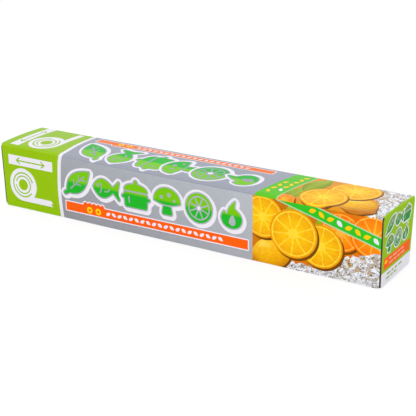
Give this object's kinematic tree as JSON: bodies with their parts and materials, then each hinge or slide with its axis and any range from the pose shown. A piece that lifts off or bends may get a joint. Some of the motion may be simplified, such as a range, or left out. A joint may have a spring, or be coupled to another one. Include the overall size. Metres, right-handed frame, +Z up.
{
  "type": "boxed aluminium foil roll",
  "caption": "Long slim printed board carton, sealed round a roll of household foil, with its tear strip and glued ears in place.",
  "frame": {"origin": "middle of the flat base, on the surface that the carton rests on", "axes": "+X along the carton and the roll inside, front panel facing -Y, +Z up"},
  "size_m": [0.258, 0.0406, 0.041],
  "materials": {
    "printed_board": "coated board, soft gloss"
  },
  "bodies": {
    "root": {"carton": "printed_board"}
  },
  "joints": []
}
